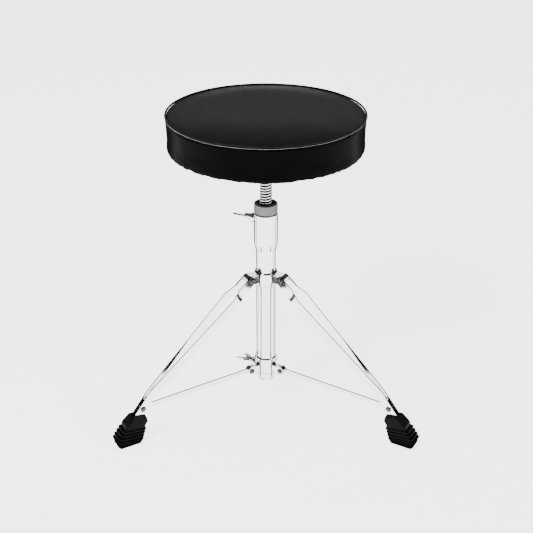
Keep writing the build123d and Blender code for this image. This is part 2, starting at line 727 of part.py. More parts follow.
def all_parts():
    parts = {
        "main_tube": main_tube(),
        "tube_cap": tube_cap(),
        "height_housing": height_housing(),
        "clamp_boss": clamp_boss(),
        "nut_insert": nut_insert(),
        "leg_hub": leg_hub(),
        "leg_pivot_rivets": leg_pivot_rivets(),
        "lock_ring": lock_ring(),
        "upper_wing_bolt": wing_bolt(UPPER_BOSS_REACH, UPPER_BOLT_Z, UPPER_WING_ROLL),
        "spindle_stop_collar": spindle_stop_collar(),
        "spindle": spindle(),
        "seat_bracket": seat_bracket(),
        "socket_clamp_screw": socket_clamp_screw(),
        "bracket_screws": bracket_screws(),
        "seat_board": seat_board(),
        "seat_foam": seat_foam(),
        "seat_band": seat_band(),
        "seat_top_panel": seat_top_panel(),
        "seat_welt": seat_welt(),
        "seat_dust_cover": seat_dust_cover(),
        "seat_staples": seat_staples(),
        "strut_hub": strut_hub(),
        "strut_pivot_rivets": strut_pivot_rivets(),
        "lower_wing_bolt": wing_bolt(LOWER_BOSS_REACH, LOWER_BOLT_Z, LOWER_WING_ROLL),
    }
    for name, azimuth in LEG_AZIMUTHS.items():
        parts[f"{name}_leg_strip_1"] = leg_strip(azimuth, 1)
        parts[f"{name}_leg_strip_2"] = leg_strip(azimuth, -1)
        parts[f"{name}_leg_rivet_studs"] = leg_rivet_studs(azimuth)
        parts[f"{name}_boot"] = boot(azimuth)
        parts[f"{name}_strut"] = strut(azimuth)
    return parts


os.makedirs("parts", exist_ok=True)
for node, shape in all_parts().items():
    export_step(shape, os.path.join("parts", node + ".step"))
    print(node, round(shape.volume))
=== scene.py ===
import json
import math

import bpy
import numpy as np
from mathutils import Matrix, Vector, noise
from mathutils.bvhtree import BVHTree

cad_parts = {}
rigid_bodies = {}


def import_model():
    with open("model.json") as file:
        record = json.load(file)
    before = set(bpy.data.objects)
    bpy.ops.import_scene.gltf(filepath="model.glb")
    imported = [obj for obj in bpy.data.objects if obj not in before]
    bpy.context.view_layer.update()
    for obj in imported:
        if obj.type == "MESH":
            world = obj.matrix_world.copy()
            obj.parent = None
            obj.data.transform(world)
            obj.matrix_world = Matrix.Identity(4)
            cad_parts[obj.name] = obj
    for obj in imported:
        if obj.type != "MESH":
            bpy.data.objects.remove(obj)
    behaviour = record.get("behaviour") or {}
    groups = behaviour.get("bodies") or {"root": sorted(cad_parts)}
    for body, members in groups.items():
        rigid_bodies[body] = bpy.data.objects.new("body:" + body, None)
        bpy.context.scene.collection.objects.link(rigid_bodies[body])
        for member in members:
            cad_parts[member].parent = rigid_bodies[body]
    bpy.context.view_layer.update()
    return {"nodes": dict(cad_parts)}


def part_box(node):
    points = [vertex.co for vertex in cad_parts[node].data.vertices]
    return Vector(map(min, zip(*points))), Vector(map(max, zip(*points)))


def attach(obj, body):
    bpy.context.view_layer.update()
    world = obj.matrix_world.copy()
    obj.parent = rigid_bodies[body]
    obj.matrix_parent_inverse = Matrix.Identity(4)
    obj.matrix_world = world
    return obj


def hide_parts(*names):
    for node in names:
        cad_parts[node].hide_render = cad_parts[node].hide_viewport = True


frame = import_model()

# Sizes in metres. Those of the seat come from the CAD model's own nodes.
WELT_LOW, WELT_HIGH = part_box("seat_welt")
SEAT_RADIUS = WELT_HIGH.x
RIM_Z = (WELT_LOW.z + WELT_HIGH.z) / 2
WELT_RADIUS = (WELT_HIGH.z - WELT_LOW.z) / 2
PIPING_RADIUS = 0.78 * WELT_RADIUS
TOP_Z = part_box("seat_top_panel")[1].z
CROWN = TOP_Z - RIM_Z
CROWN_POWER = 4.4
CROWN_BEFORE_STUFFING = 0.90
TOP_EDGE = SEAT_RADIUS - 2 * PIPING_RADIUS + 0.0006
TOP_CELLS = 64
TOP_UNEVENNESS = 0.0003
SEAT_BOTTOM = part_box("seat_band")[0].z
BOARD_LOW, BOARD_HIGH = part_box("seat_board")
SEAM_Z = RIM_Z - WELT_RADIUS - 0.0004
LIP_RADIUS = 0.1405
FOAM_TOP_RADIUS = 0.1525
BAND_INSET = 0.0025
BAND_HOLLOW = 0.0013
BAND_ROWS = 13
BAND_COLUMNS = 216
# How far the stuffing may move a point, and how much the cloth shrinks, below 0 where it is slack.
TOP_SWELL, TOP_SHRINK = 0.0012, 0.0
SIDE_SWELL, SIDE_SHRINK = 0.0015, -0.012
CLOTH_FRAMES = 20
CLOTH_PRESSURE = 4.0

PIPING_STEPS = 360
PIPING_SIDES = 14
PIPING_PINCH = 0.035
RIM_WANDER_OUT, RIM_WANDER_UP = 0.00022, 0.00035
STITCH_COUNT = 300
# Where a stitch starts and how long it is, as shares of their pitch.
STITCH_START, STITCH_LENGTH = 0.22, 0.56
STITCH_ARCH = 0.00015
STITCH_DROP = 0.0016
STITCH_RADIUS = 0.00048
STITCH_STEPS = 6
STITCH_SIDES = 6

THREAD_PITCH = 0.005
THREAD_MAJOR = 0.0105
THREAD_ROOT = 0.0088
THREAD_TURNS = 39
THREAD_COLUMNS = 48
ROWS_A_TURN = 12

LEG_TURNS = {"left": 210, "right": 330, "rear": 90}

FLOOR_REACH = 12
FLOOR_GLOW = 3.2
CEILING_LIGHT = 2.0
BACKDROP_LIGHT = 3.0
# Dark flags round the column: direction and width in degrees, and how far they reach.
FLAG_RAYS = [
    (211, 13, 0.56),
    (329, 13, 0.56),
    (56, 44, 4.0),
    (124, 44, 4.0),
    (14, 9, 4.0),
    (166, 9, 4.0),
]
FLAG_START = 0.06
FLAG_HEIGHT = 0.0008
CAMERA_PLACE = (0.0011, -1.5, 1.0485)
CAMERA_DOWN = 0.473
CAMERA_LENS = 63.9


# ---------------------------------------------------------------- small helpers


def shade_smooth(obj):
    obj.data.polygons.foreach_set("use_smooth", [True] * len(obj.data.polygons))


def mesh_object(name, verts, faces, smooth=True):
    data = bpy.data.meshes.new(name)
    data.from_pydata([tuple(v) for v in verts], [], faces)
    data.validate()
    data.update()
    obj = bpy.data.objects.new(name, data)
    bpy.context.scene.collection.objects.link(obj)
    if smooth:
        shade_smooth(obj)
    return obj


def circle(radius, z, count):
    turns = [2 * math.pi * j / count for j in range(count)]
    return [(radius * math.cos(t), radius * math.sin(t), z) for t in turns]


def ring_faces(first, second, count):
    """Faces between two rings of vertices, each given by the number of its first vertex."""
    faces = []
    for j in range(count):
        k = (j + 1) % count
        faces.append((first + j, first + k, second + k, second + j))
    return faces


def lathe_rows(rows):
    """Vertices and faces of a closed skin through rings of equal length, first to last."""
    count = len(rows[0])
    verts = [v for row in rows for v in row]
    faces = []
    for i in range(len(rows) - 1):
        faces += ring_faces(i * count, (i + 1) * count, count)
    faces.append(tuple(reversed(range(count))))
    last = (len(rows) - 1) * count
    faces.append(tuple(last + j for j in range(count)))
    return verts, faces


def subdivide(obj):
    modifier = obj.modifiers.new("subdivide", "SUBSURF")
    modifier.levels = 1
    modifier.render_levels = 1
    bpy.context.view_layer.objects.active = obj
    for other in bpy.context.view_layer.objects:
        other.select_set(other is obj)
    bpy.ops.object.modifier_apply(modifier=modifier.name)


def hump(distance, width):
    """1 at no distance, falling smoothly to almost nothing at two widths."""
    return math.exp(-((distance / width) ** 2))


def rgba(shade):
    """Colour of a grey value or of an RGB triple."""
    if isinstance(shade, (int, float)):
        shade = (shade, shade, shade)
    return (*shade, 1.0)


def fill_ramp(color_ramp, stops):
    """Stops are pairs of a place from 0 to 1 and a grey value or an RGB triple."""
    elements = color_ramp.elements
    while len(elements) < len(stops):
        elements.new(0.5)
    for element, (place, shade) in zip(elements, stops):
        element.position = place
        element.color = rgba(shade)


# ---------------------------------------------------------------- materials


class Nodes:
    """A material's node tree with short calls for the nodes used here."""

    def __init__(self, name):
        self.material = bpy.data.materials.new(name)
        self.material.use_nodes = True
        self.tree = self.material.node_tree
        self.shader = self.tree.nodes["Principled BSDF"]
        self.coords = self.add("ShaderNodeTexCoord").outputs["Object"]

    def add(self, kind, **settings):
        node = self.tree.nodes.new(kind)
        for key, value in settings.items():
            setattr(node, key, value)
        return node

    def link(self, source, target):
        self.tree.links.new(source, target)

    def set(self, **values):
        """Uniform values of the shader, by socket name with _ for a space."""
        for key, value in values.items():
            self.shader.inputs[key.replace("_", " ")].default_value = value

    def scaled(self, scale):
        mapping = self.add("ShaderNodeMapping")
        mapping.inputs["Scale"].default_value = scale
        self.link(self.coords, mapping.inputs["Vector"])
        return mapping.outputs["Vector"]

    def noise(self, scale, detail=4.0, rough=0.55, vector=None):
        node = self.add("ShaderNodeTexNoise")
        node.inputs["Scale"].default_value = scale
        node.inputs["Detail"].default_value = detail
        node.inputs["Roughness"].default_value = rough
        self.link(self.coords if vector is None else vector, node.inputs["Vector"])
        return node.outputs["Fac"]

    def cells(self, scale):
        node = self.add("ShaderNodeTexVoronoi")
        node.inputs["Scale"].default_value = scale
        self.link(self.coords, node.inputs["Vector"])
        return node.outputs["Distance"]

    def maths(self, operation, a, b=None):
        node = self.add("ShaderNodeMath", operation=operation)
        for slot, value in enumerate((a, b)):
            if value is None:
                continue
            if isinstance(value, (int, float)):
                node.inputs[slot].default_value = value
            else:
                self.link(value, node.inputs[slot])
        return node.outputs[0]

    def ramp(self, factor, *stops):
        node = self.add("ShaderNodeValToRGB")
        fill_ramp(node.color_ramp, stops)
        self.link(factor, node.inputs["Fac"])
        return node.outputs["Color"]

    def multiply(self, first, second):
        """Product of two colours."""
        colour_a, colour_b, colour_result = 6, 7, 2
        node = self.add("ShaderNodeMix", data_type="RGBA", blend_type="MULTIPLY")
        node.inputs["Factor"].default_value = 1.0
        self.link(first, node.inputs[colour_a])
        self.link(second, node.inputs[colour_b])
        return node.outputs[colour_result]

    def base(self, factor, *stops):
        """Base colour from a factor."""
        self.link(self.ramp(factor, *stops), self.shader.inputs["Base Color"])

    def roughness(self, factor, low, high):
        """Roughness from a factor of 0 to 1, spread between low and high."""
        node = self.add("ShaderNodeMapRange")
        node.inputs["To Min"].default_value = low
        node.inputs["To Max"].default_value = high
        self.link(factor, node.inputs["Value"])
        self.link(node.outputs["Result"], self.shader.inputs["Roughness"])

    def bump(self, height, distance, strength=1.0, below=None):
        """Bump on the shader, over an earlier bump where one is given."""
        node = self.add("ShaderNodeBump")
        node.inputs["Distance"].default_value = distance
        node.inputs["Strength"].default_value = strength
        self.link(height, node.inputs["Height"])
        if below is not None:
            self.link(below, node.inputs["Normal"])
        self.link(node.outputs["Normal"], self.shader.inputs["Normal"])
        return node.outputs["Normal"]

    def facing(self, direction):
        """How squarely the surface faces a direction of its own frame, either way: 0 to 1."""
        node = self.add("ShaderNodeVectorMath", operation="DOT_PRODUCT")
        node.inputs[1].default_value = direction
        self.link(self.add("ShaderNodeTexCoord").outputs["Normal"], node.inputs[0])
        return self.maths("ABSOLUTE", node.outputs["Value"])

    def across_column(self):
        """X and Y of the surface, from the column's axis."""
        parts = self.add("ShaderNodeSeparateXYZ")
        self.link(self.coords, parts.inputs[0])
        return parts.outputs["X"], parts.outputs["Y"]

    def waves(self, count):
        """Sine waves round the column, a count of them in one turn."""
        x, y = self.across_column()
        return self.maths("SINE", self.maths("MULTIPLY", self.maths("ARCTAN2", y, x), count))


def chrome(name, shade, low, high, stretch=(1, 1, 1), scale=160.0, face=None):
    """Bright plate: faint haze, hairline scratches and a slight unevenness of the metal below.

    A flat bar gives the direction of its polished faces; its edges, which face elsewhere, get
    painted shade near black as dark outlines."""
    n = Nodes(name)
    n.set(Metallic=1.0)
    haze = n.noise(scale * 0.25, detail=3.0)
    hazed = (shade * 0.95, shade * 0.96, shade * 0.97)
    clear = (shade, shade, shade * 1.005)
    haze_and_edge_shade = n.ramp(haze, (0.3, hazed), (0.75, clear))
    if face is not None:
        # Painted shade: faces that do not look along the bar's face direction, its edges, turn
        # near black as dark outlines.
        haze_and_edge_shade = n.multiply(haze_and_edge_shade, n.ramp(n.facing(face), (0.93, 0.02), (0.99, 1.0)))
    n.link(haze_and_edge_shade, n.shader.inputs["Base Color"])
    scratches = n.noise(scale * 5.0, detail=2.0, rough=0.7, vector=n.scaled(stretch))
    n.roughness(scratches, low, high)
    ripple = n.bump(n.noise(scale * 0.35, detail=1.0), distance=0.00025, strength=0.10)
    n.bump(scratches, distance=0.00002, strength=0.25, below=ripple)
    return n.material


def cast_zinc():
    """Matt grey casting of the lock ring, with a fine vertical knurl on its side."""
    n = Nodes("cast_zinc")
    n.set(Metallic=0.55)
    grain = n.noise(1400.0, detail=3.0)
    n.base(n.noise(90.0, detail=3.0), (0.3, (0.12, 0.12, 0.123)), (0.8, 0.19))
    n.roughness(grain, 0.38, 0.6)
    knurl = n.bump(n.waves(72.0), distance=0.00018, strength=0.5)
    n.bump(grain, distance=0.00006, strength=0.6, below=knurl)
    return n.material


def thread_steel():
    """Rolled steel thread, bright on its crests, with shade painted near black into its roots."""
    n = Nodes("thread_steel")
    n.set(Metallic=1.0)
    x, y = n.across_column()
    square = n.maths("ADD", n.maths("MULTIPLY", x, x), n.maths("MULTIPLY", y, y))
    height = n.maths("SUBTRACT", n.maths("SQRT", square), THREAD_ROOT)
    share = n.maths("DIVIDE", height, THREAD_MAJOR - THREAD_ROOT)
    # Colour by depth: bright steel at the crests, painted shade near black in the roots.
    n.base(share, (0.0, 0.006), (0.72, 0.02), (0.93, 0.60), (1.0, 0.80))
    n.roughness(n.noise(900.0, detail=4.0), 0.22, 0.45)
    marks = n.noise(1500.0, detail=3.0, rough=0.6, vector=n.scaled((1, 1, 6)))
    n.bump(marks, distance=0.00004, strength=0.5)
    return n.material


def plain_steel():
    """Zinc-plated fasteners, with turned marks and cloudy plating."""
    n = Nodes("plated_steel")
    n.set(Metallic=1.0)
    cloud = n.noise(300.0, detail=3.0)
    n.base(cloud, (0.3, (0.36, 0.36, 0.35)), (0.8, (0.56, 0.56, 0.54)))
    n.roughness(cloud, 0.22, 0.42)
    n.bump(n.noise(2500.0, detail=2.0), distance=0.00003, strength=0.5)
    return n.material


def vinyl_top():
    """Semi-matt black vinyl with a fine pebble grain and a soft, patchy sheen."""
    n = Nodes("vinyl_top")
    n.set(Specular_IOR_Level=0.026)
    patch = n.noise(14.0, detail=3.0)
    n.base(patch, (0.25, (0.0050, 0.0043, 0.0042)), (0.8, (0.0068, 0.0060, 0.0058)))
    n.roughness(n.noise(60.0, detail=5.0), 0.30, 0.40)
    pebbles = n.bump(n.cells(900.0), distance=0.00016, strength=0.5)
    n.bump(n.noise(2600.0, detail=3.0), distance=0.00008, strength=0.45, below=pebbles)
    return n.material


def vinyl_band():
    """Smoother, glossier vinyl stretched round the seat's side."""
    n = Nodes("vinyl_band")
    n.set(Specular_IOR_Level=0.016)
    n.base(n.noise(22.0, detail=3.0), (0.25, 0.0007), (0.8, 0.0012))
    n.roughness(n.noise(120.0, detail=4.0), 0.27, 0.40)
    stretched = n.noise(38.0, detail=2.0, rough=0.5, vector=n.scaled((1, 1, 0.35)))
    folds = n.bump(stretched, distance=0.0012, strength=0.25)
    n.bump(n.cells(1100.0), distance=0.00006, strength=0.35, below=folds)
    return n.material


def piping():
    """Vinyl drawn tight over the cord round the rim, a little worn in places."""
    n = Nodes("piping")
    n.set(Specular_IOR_Level=0.05)
    wear = n.noise(200.0, detail=4.0)
    n.base(wear, (0.3, 0.003), (0.8, 0.007))
    n.roughness(wear, 0.36, 0.50)
    n.bump(n.cells(1200.0), distance=0.00008, strength=0.5)
    return n.material


def thread_grey():
    """Twisted polyester thread."""
    n = Nodes("thread_grey")
    n.set(Roughness=0.6)
    n.base(n.noise(900.0, detail=2.0), (0.2, 0.34), (0.8, 0.58))
    n.bump(n.waves(900.0), distance=0.0001, strength=0.5)
    return n.material


def rubber():
    """Moulded black rubber, faintly dusty, with scuffs on its sides."""
    n = Nodes("rubber")
    n.set(Specular_IOR_Level=0.05)
    dust = n.noise(70.0, detail=5.0, rough=0.65)
    n.base(dust, (0.35, (0.0010, 0.0010, 0.0011)), (0.85, 0.0032))
    n.roughness(dust, 0.36, 0.56)
    pores = n.bump(n.noise(1800.0, detail=4.0), distance=0.0001, strength=0.6)
    n.bump(n.noise(160.0, detail=3.0), distance=0.0003, strength=0.25, below=pores)
    return n.material


def plywood():
    """Bare plywood with its grain along X."""
    n = Nodes("plywood")
    n.set(Roughness=0.7)
    grain = n.noise(30.0, detail=6.0, rough=0.6, vector=n.scaled((1, 9, 14)))
    n.base(grain, (0.25, (0.30, 0.19, 0.10)), (0.75, (0.60, 0.44, 0.27)))
    n.bump(grain, distance=0.0002, strength=0.5)
    return n.material


def dust_cloth():
    """Pressed non-woven cloth with its small spot-weld pattern."""
    n = Nodes("dust_cloth")
    n.set(Roughness=0.9, Specular_IOR_Level=0.1)
    spots = n.cells(520.0)
    n.base(spots, (0.0, 0.0030), (0.6, (0.0075, 0.0075, 0.0077)))
    fibres = n.bump(n.noise(2200.0, detail=4.0), distance=0.0002, strength=0.7)
    n.bump(spots, distance=0.0003, strength=0.6, below=fibres)
    return n.material


def black_paint():
    """Satin black powder coat with orange peel and rubbed spots."""
    n = Nodes("black_paint")
    rub = n.noise(45.0, detail=5.0, rough=0.7)
    n.base(rub, (0.4, (0.004, 0.004, 0.0043)), (0.9, (0.014, 0.014, 0.0147)))
    n.roughness(rub, 0.32, 0.5)
    n.bump(n.noise(420.0, detail=2.0), distance=0.0002, strength=0.35)
    return n.material


def nylon():
    """Dark moulded nylon with faint flow marks."""
    n = Nodes("nylon")
    flow = n.noise(240.0, detail=3.0)
    n.base(flow, (0.3, (0.02, 0.02, 0.021)), (0.8, (0.045, 0.045, 0.047)))
    n.roughness(flow, 0.35, 0.5)
    n.bump(n.noise(900.0, detail=2.0), distance=0.0001, strength=0.4)
    return n.material


MATERIALS = {
    "tube": chrome("chrome_tube", 0.88, 0.03, 0.07, stretch=(1, 1, 0.04)),
    "cast": chrome("chrome_cast", 0.84, 0.05, 0.13, scale=220.0),
    "rivet": chrome("chrome_rivet", 0.06, 0.08, 0.18, scale=400.0),
    # Near-black plate for rounded edges: painted shade that draws dark outlines, not a colour of
    # the metal.
    "edge": chrome("chrome_painted_edge_shade", 0.035, 0.16, 0.30, scale=400.0),
    "zinc": cast_zinc(),
    "thread": thread_steel(),
    "steel": plain_steel(),
    "top": vinyl_top(),
    "band": vinyl_band(),
    "piping": piping(),
    "stitch": thread_grey(),
    "rubber": rubber(),
    "wood": plywood(),
    "cloth": dust_cloth(),
    "paint": black_paint(),
    "nylon": nylon(),
}


def bar_chrome(leg, look, low, high):
    """Plate of a leg's flat bars, whose polished faces look sideways, with painted shade near
    black on their edges.
    """
    turn = math.radians(LEG_TURNS[leg])
    across = (-math.sin(turn), math.cos(turn), 0.0)
    return chrome(f"chrome_{look}_{leg}", 0.86, low, high, stretch=(1, 0.3, 1), face=across)


for leg in LEG_TURNS:
    MATERIALS[f"{leg}_strip"] = bar_chrome(leg, "strip", 0.04, 0.10)
    MATERIALS[f"{leg}_brace"] = bar_chrome(leg, "brace", 0.05, 0.11)


# ---------------------------------------------------------------- the CAD's hard parts

NODE_LOOKS = {
    "main_tube": "tube",
    "tube_cap": "cast",
    "height_housing": "tube",
    "clamp_boss": "cast",
    "nut_insert": "nylon",
    "leg_hub": "cast",
    "leg_pivot_rivets": "rivet",
    "lock_ring": "zinc",
    "upper_wing_bolt": "cast",
    "lower_wing_bolt": "cast",
    "spindle_stop_collar": "steel",
    "seat_bracket": "paint",
    "socket_clamp_screw": "steel",
    "bracket_screws": "steel",
    "seat_board": "wood",
    "seat_dust_cover": "cloth",
    "seat_staples": "steel",
    "strut_hub": "cast",
    "strut_pivot_rivets": "rivet",
}
for leg in LEG_TURNS:
    NODE_LOOKS[f"{leg}_leg_strip_1"] = f"{leg}_strip"
    NODE_LOOKS[f"{leg}_leg_strip_2"] = f"{leg}_strip"
    NODE_LOOKS[f"{leg}_leg_rivet_studs"] = "rivet"
    NODE_LOOKS[f"{leg}_strut"] = f"{leg}_brace"
    NODE_LOOKS[f"{leg}_boot"] = "rubber"

# Bevel widths, by the last word of a look.
EDGE_ROUND = {
    "rubber": 0.0007,
    "cast": 0.0009,
    "paint": 0.0005,
    "rivet": 0.0006,
    "strip": 0.0012,
    "brace": 0.00098,
}
PLAIN_EDGE_ROUND = 0.0003
BEVEL_OVER_DEGREES = 38
# Looks whose rounded edges get painted shade, as dark outlines.
PAINTED_EDGE_SHADE_LOOKS = ("rivet", "cast")


def dress_cad_nodes():
    """Gives each carried-over CAD node its material, rounded edges and clean shading, and paints
    the rounded edges of castings and rivets near black as shade.
    """
    for name, obj in frame["nodes"].items():
        if name not in NODE_LOOKS:
            continue
        look = NODE_LOOKS[name]
        obj.data.materials.clear()
        obj.data.materials.append(MATERIALS[look])
        weld = obj.modifiers.new("weld", "WELD")
        weld.merge_threshold = 1e-6
        bevel = obj.modifiers.new("edge", "BEVEL")
        bevel.width = EDGE_ROUND.get(look.split("_")[-1], PLAIN_EDGE_ROUND)
        bevel.segments = 2
        bevel.limit_method = "ANGLE"
        bevel.angle_limit = math.radians(BEVEL_OVER_DEGREES)
        bevel.harden_normals = True
        # Painted shade: the bevel's faces take the near-black plate.
        if look in PAINTED_EDGE_SHADE_LOOKS:
            obj.data.materials.append(MATERIALS["edge"])
            bevel.material = 1
        shade_smooth(obj)
        normals = obj.modifiers.new("normals", "WEIGHTED_NORMAL")
        normals.keep_sharp = True


# ---------------------------------------------------------------- spindle


def thread_radius(phase):
    """Radius of the thread at a phase from 0 to 1 within one pitch: rounded trapezoid."""
    wave = 0.5 - 0.5 * math.cos(2 * math.pi * phase)
    share = min(1.0, max(0.0, (wave - 0.25) / 0.5))
    share = share * share * (3 - 2 * share)
    return THREAD_ROOT + (THREAD_MAJOR - THREAD_ROOT) * share


def thread_row(z, fade):
    """Ring of points at one height, where the ridge stands out by a share of its full depth."""
    row = []
    for j in range(THREAD_COLUMNS):
        turn = 2 * math.pi * j / THREAD_COLUMNS
        phase = (z / THREAD_PITCH - j / THREAD_COLUMNS) % 1.0
        radius = THREAD_ROOT + (thread_radius(phase) - THREAD_ROOT) * fade
        row.append((radius * math.cos(turn), radius * math.sin(turn), z))
    return row


def build_spindle():
    """Threaded rod with a true helix, a plain neck and a stub for its stop collar."""
    low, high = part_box("spindle")
    stub_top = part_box("spindle_stop_collar")[1].z + 0.0003
    thread_top = stub_top + THREAD_TURNS * THREAD_PITCH
    step = THREAD_PITCH / ROWS_A_TURN
    stub_radius, neck_radius = 0.007, 0.0089
    stub = [
        (0.0062, low.z),
        (stub_radius, low.z + 0.0008),
        (stub_radius, stub_top),
        (THREAD_ROOT, stub_top),
    ]
    neck = [
        (neck_radius, thread_top + 0.001),
        (neck_radius, high.z - 0.001),
        (0.0082, high.z),
    ]
    rows = [circle(radius, z, THREAD_COLUMNS) for radius, z in stub]
    for i in range(1, int((thread_top - stub_top) / step)):
        z = stub_top + i * step
        fade = min(1.0, (z - stub_top) / THREAD_PITCH, (thread_top - z) / THREAD_PITCH)
        rows.append(thread_row(z, fade))
    rows += [circle(radius, z, THREAD_COLUMNS) for radius, z in neck]
    obj = mesh_object("spindle_thread", *lathe_rows(rows))
    obj.data.materials.append(MATERIALS["thread"])
    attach(obj, "seat")
    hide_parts("spindle")


# ---------------------------------------------------------------- seat cushion


def disc_point(u, v, radius):
    """Point of a disc from square coordinates -1..1, with even cells all over."""
    if u == 0 and v == 0:
        return 0.0, 0.0
    if abs(u) > abs(v):
        reach, turn = u, (math.pi / 4) * (v / u)
    else:
        reach, turn = v, math.pi / 2 - (math.pi / 4) * (u / v)
    return radius * reach * math.cos(turn), radius * reach * math.sin(turn)


def crown_height(radius):
    return CROWN * (1 - (min(radius, TOP_EDGE) / TOP_EDGE) ** CROWN_POWER)


def top_skin():
    """Vertices and faces of the top panel: an even grid over the disc, closed underneath."""
    side = TOP_CELLS + 1
    upper, lower = [], []
    for i in range(side):
        for j in range(side):
            x, y = disc_point(2 * i / TOP_CELLS - 1, 2 * j / TOP_CELLS - 1, TOP_EDGE)
            crown = CROWN_BEFORE_STUFFING * crown_height(math.hypot(x, y))
            upper.append((x, y, RIM_Z - 0.0006 + crown))
            lower.append((x, y, SEAM_Z + 0.0004))
    below = side * side
    faces = []
    for i in range(TOP_CELLS):
        for j in range(TOP_CELLS):
            a = i * side + j
            b = a + side
            faces.append((a, b, b + 1, a + 1))
            faces.append((below + a + 1, below + b + 1, below + b, below + a))
    border = [i * side for i in range(side)]
    border += [TOP_CELLS * side + j for j in range(1, side)]
    border += [i * side + TOP_CELLS for i in range(TOP_CELLS - 1, -1, -1)]
    border += list(range(TOP_CELLS - 1, 0, -1))
    for start, end in zip(border, border[1:] + border[:1]):
        faces.append((start, below + start, below + end, end))
    return upper + lower, faces


def shape_top(top):
    """Small gathers just inside the piping, and a little unevenness over the crown."""
    gather_reach, slack_reach = 0.016, 0.03
    coords = np.array([v.co for v in top.data.vertices], float)
    for co in coords:
        if co[2] < RIM_Z - 0.001:
            continue
        inside = TOP_EDGE - math.hypot(co[0], co[1])
        around = math.atan2(co[1], co[0])
        near = max(0.0, 1 - inside / gather_reach)
        spot = Vector((math.cos(around) * 5, math.sin(around) * 5, 2.0))
        gather = noise.noise(spot * 3.1) * TOP_UNEVENNESS * near * (1 - near) * 4
        loose = noise.noise(Vector((co[0] * 11, co[1] * 17, 3.1)))
        slack = loose * TOP_UNEVENNESS * min(1.0, inside / slack_reach)
        co[2] += gather + slack
    top.data.vertices.foreach_set("co", coords.ravel())


def build_top():
    """Crowned top panel with a flat underside."""
    top = mesh_object("seat_top", *top_skin())

    def held(co):
        return co[2] < SEAM_Z + 0.001 or math.hypot(co[0], co[1]) > TOP_EDGE - 0.001

    stuff(top, TOP_SWELL, held, TOP_SHRINK)
    shape_top(top)
    subdivide(top)
    finish_cover(top, "top", "vinyl_top", 0.85, "seat_top_panel")


def band_profile():
    """Closed outline of the side's cross-section, outer wall first, as radius and height."""
    bottom = SEAT_RADIUS - BAND_INSET
    points = [
        (LIP_RADIUS, SEAT_BOTTOM),
        (0.150, SEAT_BOTTOM),
        (bottom - 0.0030, SEAT_BOTTOM),
        (bottom - 0.0014, SEAT_BOTTOM + 0.0004),
        (bottom - 0.0005, SEAT_BOTTOM + 0.0015),
    ]
    wall_low, wall_high = SEAT_BOTTOM + 0.004, SEAM_Z - 0.0006
    for i in range(BAND_ROWS + 1):
        share = i / BAND_ROWS
        hollow = BAND_HOLLOW * math.sin(math.pi * share)
        radius = bottom - 0.0002 + 0.0007 * share - hollow
        points.append((radius, wall_low + (wall_high - wall_low) * share))
    board_edge = BOARD_HIGH.x + 0.0004
    points += [
        (bottom - 0.002, SEAM_Z),
        (FOAM_TOP_RADIUS, SEAM_Z),
        (FOAM_TOP_RADIUS, BOARD_HIGH.z + 0.0005),
        (board_edge, BOARD_HIGH.z + 0.0004),
        (board_edge, BOARD_LOW.z + 0.0001),
        (LIP_RADIUS, BOARD_LOW.z - 0.0001),
    ]
    return points


def wander(turn, frequency, start):
    """Smooth noise round the column, from -1 to 1."""
    return noise.noise(turn * frequency + Vector((0, 0, start)))


def shape_side(side):
    """Valley under the welt with gathers at its stitches, slack folds low down and a wavy hem."""
    valley_depth, valley_width = 0.0007, 0.0022
    gather_depth, gather_drop, gather_width = 0.00035, 0.004, 0.004
    hem_depth, hem_ripple, hem_width = 0.0015, 0.0006, 0.007
    hem_lift, hem_height = 0.0024, 0.004
    fold_depth, fold_rise, fold_width = 0.0009, 0.018, 0.014
    coords = np.array([v.co for v in side.data.vertices], float)
    for co in coords:
        if math.hypot(co[0], co[1]) < SEAT_RADIUS - 0.012:
            continue
        around = math.atan2(co[1], co[0])
        turn = Vector((math.cos(around), math.sin(around), 0.0))
        low = co[2] - SEAT_BOTTOM
        below = SEAM_Z - co[2]
        gather = wander(turn, 26.0, 1.7)
        hem = wander(turn, 9.0, 5.0)
        ripple = wander(turn, 31.0, 9.0)
        fold = wander(turn, 4.6, co[2] * 55 + 1.3 * math.sin(around * 2))
        pull = valley_depth * hump(below, valley_width)
        pull += gather_depth * gather * hump(below - gather_drop, gather_width)
        pull += (hem_depth * abs(hem) + hem_ripple * ripple) * hump(low, hem_width)
        pull += fold_depth * (fold * hump(low - fold_rise, fold_width))
        co[0] -= pull * math.cos(around)
        co[1] -= pull * math.sin(around)
        if low < hem_height:
            co[2] += hem_lift * abs(hem) * (1 - low / hem_height)
    side.data.vertices.foreach_set("co", coords.ravel())
    side.data.update()


def build_side():
    """Side of the cover with the foam behind it, as one closed ring round the board."""
    points = band_profile()
    verts = [v for radius, z in points for v in circle(radius, z, BAND_COLUMNS)]
    faces = []
    for i in range(len(points)):
        after = (i + 1) % len(points)
        faces += ring_faces(i * BAND_COLUMNS, after * BAND_COLUMNS, BAND_COLUMNS)
    side = mesh_object("seat_side", verts, faces)

    def held(co):
        on_wall = math.hypot(co[0], co[1]) > SEAT_RADIUS - 0.006
        return not (on_wall and SEAT_BOTTOM + 0.003 < co[2] < SEAM_Z - 0.002)

    stuff(side, SIDE_SWELL, held, SIDE_SHRINK)
    subdivide(side)
    shape_side(side)
    finish_cover(side, "band", "vinyl_band", 0.8, "seat_foam", "seat_band")
    return side


